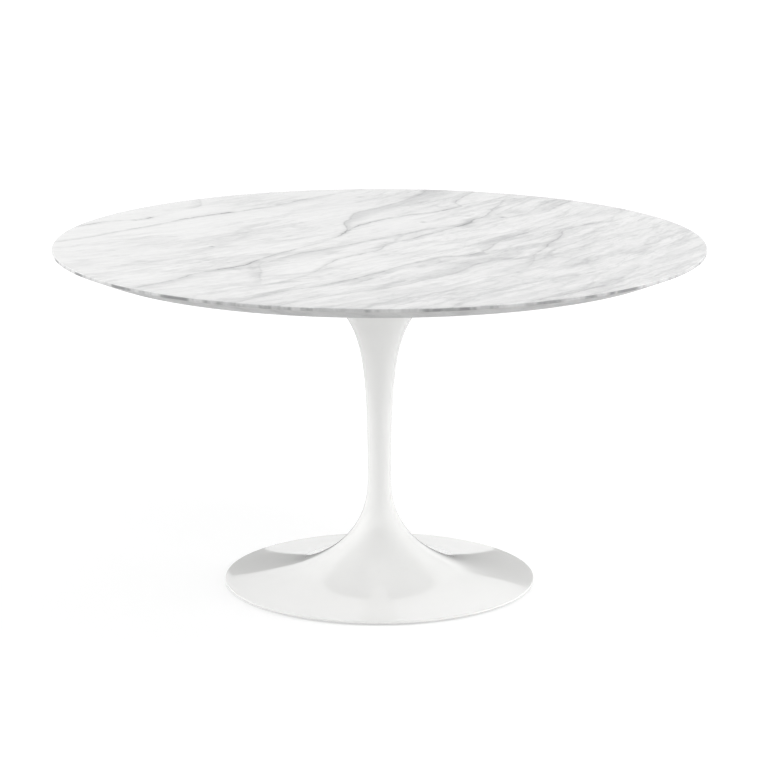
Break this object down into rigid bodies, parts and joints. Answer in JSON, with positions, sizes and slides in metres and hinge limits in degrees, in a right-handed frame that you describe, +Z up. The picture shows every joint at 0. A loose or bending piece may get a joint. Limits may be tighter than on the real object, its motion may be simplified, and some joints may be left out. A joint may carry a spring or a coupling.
{
  "type": "round pedestal table",
  "caption": "Round dining table: a bevelled marble slab bolted to a steel plate on a hollow trumpet-shaped pedestal with screw-adjustable levelling glides.",
  "frame": {"origin": "on the floor, under the centre of the round top and foot", "axes": "+Z up along the pedestal, -Y towards the side that is seen from the front"},
  "size_m": [1.37, 1.37, 0.737],
  "materials": {
    "marble": "polished, white ground with grey veins",
    "white_lacquer": "gloss white lacquer on a casting",
    "plate_steel": "mill-finished plate steel",
    "zinc_steel": "bright zinc plating",
    "insert_brass": "machined brass",
    "gasket_rubber": "matt sheet rubber",
    "glide_nylon": "moulded nylon"
  },
  "bodies": {
    "table": {"marble_top": "marble", "top_insert_1": "insert_brass", "top_insert_2": "insert_brass", "top_insert_3": "insert_brass", "top_insert_4": "insert_brass", "top_insert_5": "insert_brass", "top_insert_6": "insert_brass", "plate_gasket": "gasket_rubber", "mounting_plate": "plate_steel", "plate_washer_1": "zinc_steel", "plate_washer_2": "zinc_steel", "plate_washer_3": "zinc_steel", "plate_washer_4": "zinc_steel", "plate_washer_5": "zinc_steel", "plate_washer_6": "zinc_steel", "plate_screw_1": "zinc_steel", "plate_screw_2": "zinc_steel", "plate_screw_3": "zinc_steel", "plate_screw_4": "zinc_steel", "plate_screw_5": "zinc_steel", "plate_screw_6": "zinc_steel", "rod_boss": "plate_steel", "tie_rod": "zinc_steel", "pedestal": "white_lacquer", "plate_dowel_1": "plate_steel", "plate_dowel_2": "plate_steel", "clamp_plate": "plate_steel", "rod_washer": "zinc_steel", "rod_nut": "zinc_steel", "rod_lock_nut": "zinc_steel"},
    "glide_pad_1": {"glide_pad_1": "glide_nylon"},
    "glide_stud_1": {"glide_stud_1": "zinc_steel"},
    "glide_pad_2": {"glide_pad_2": "glide_nylon"},
    "glide_stud_2": {"glide_stud_2": "zinc_steel"},
    "glide_pad_3": {"glide_pad_3": "glide_nylon"},
    "glide_stud_3": {"glide_stud_3": "zinc_steel"},
    "glide_pad_4": {"glide_pad_4": "glide_nylon"},
    "glide_stud_4": {"glide_stud_4": "zinc_steel"}
  },
  "joints": [
    {"name": "glide_1_rise", "type": "slide", "parent": "table", "child": "glide_pad_1", "axis": [0, 0, 1], "range_m": [-0.0025, 0]},
    {"name": "glide_1_turn", "type": "hinge", "parent": "glide_pad_1", "child": "glide_stud_1", "pos_m": [0.16688, 0.16688, 0.006], "axis": [0, 0, 1], "range_deg": [-720, 0]},
    {"name": "glide_2_rise", "type": "slide", "parent": "table", "child": "glide_pad_2", "axis": [0, 0, 1], "range_m": [-0.0025, 0]},
    {"name": "glide_2_turn", "type": "hinge", "parent": "glide_pad_2", "child": "glide_stud_2", "pos_m": [-0.16688, 0.16688, 0.006], "axis": [0, 0, 1], "range_deg": [-720, 0]},
    {"name": "glide_3_rise", "type": "slide", "parent": "table", "child": "glide_pad_3", "axis": [0, 0, 1], "range_m": [-0.0025, 0]},
    {"name": "glide_3_turn", "type": "hinge", "parent": "glide_pad_3", "child": "glide_stud_3", "pos_m": [-0.16688, -0.16688, 0.006], "axis": [0, 0, 1], "range_deg": [-720, 0]},
    {"name": "glide_4_rise", "type": "slide", "parent": "table", "child": "glide_pad_4", "axis": [0, 0, 1], "range_m": [-0.0025, 0]},
    {"name": "glide_4_turn", "type": "hinge", "parent": "glide_pad_4", "child": "glide_stud_4", "pos_m": [0.16688, -0.16688, 0.006], "axis": [0, 0, 1], "range_deg": [-720, 0]}
  ],
  "couplings": [
    {"joint": "glide_1_rise", "follows": "glide_1_turn", "m_per_rad": 0.00019894},
    {"joint": "glide_2_rise", "follows": "glide_2_turn", "m_per_rad": 0.00019894},
    {"joint": "glide_3_rise", "follows": "glide_3_turn", "m_per_rad": 0.00019894},
    {"joint": "glide_4_rise", "follows": "glide_4_turn", "m_per_rad": 0.00019894}
  ]
}
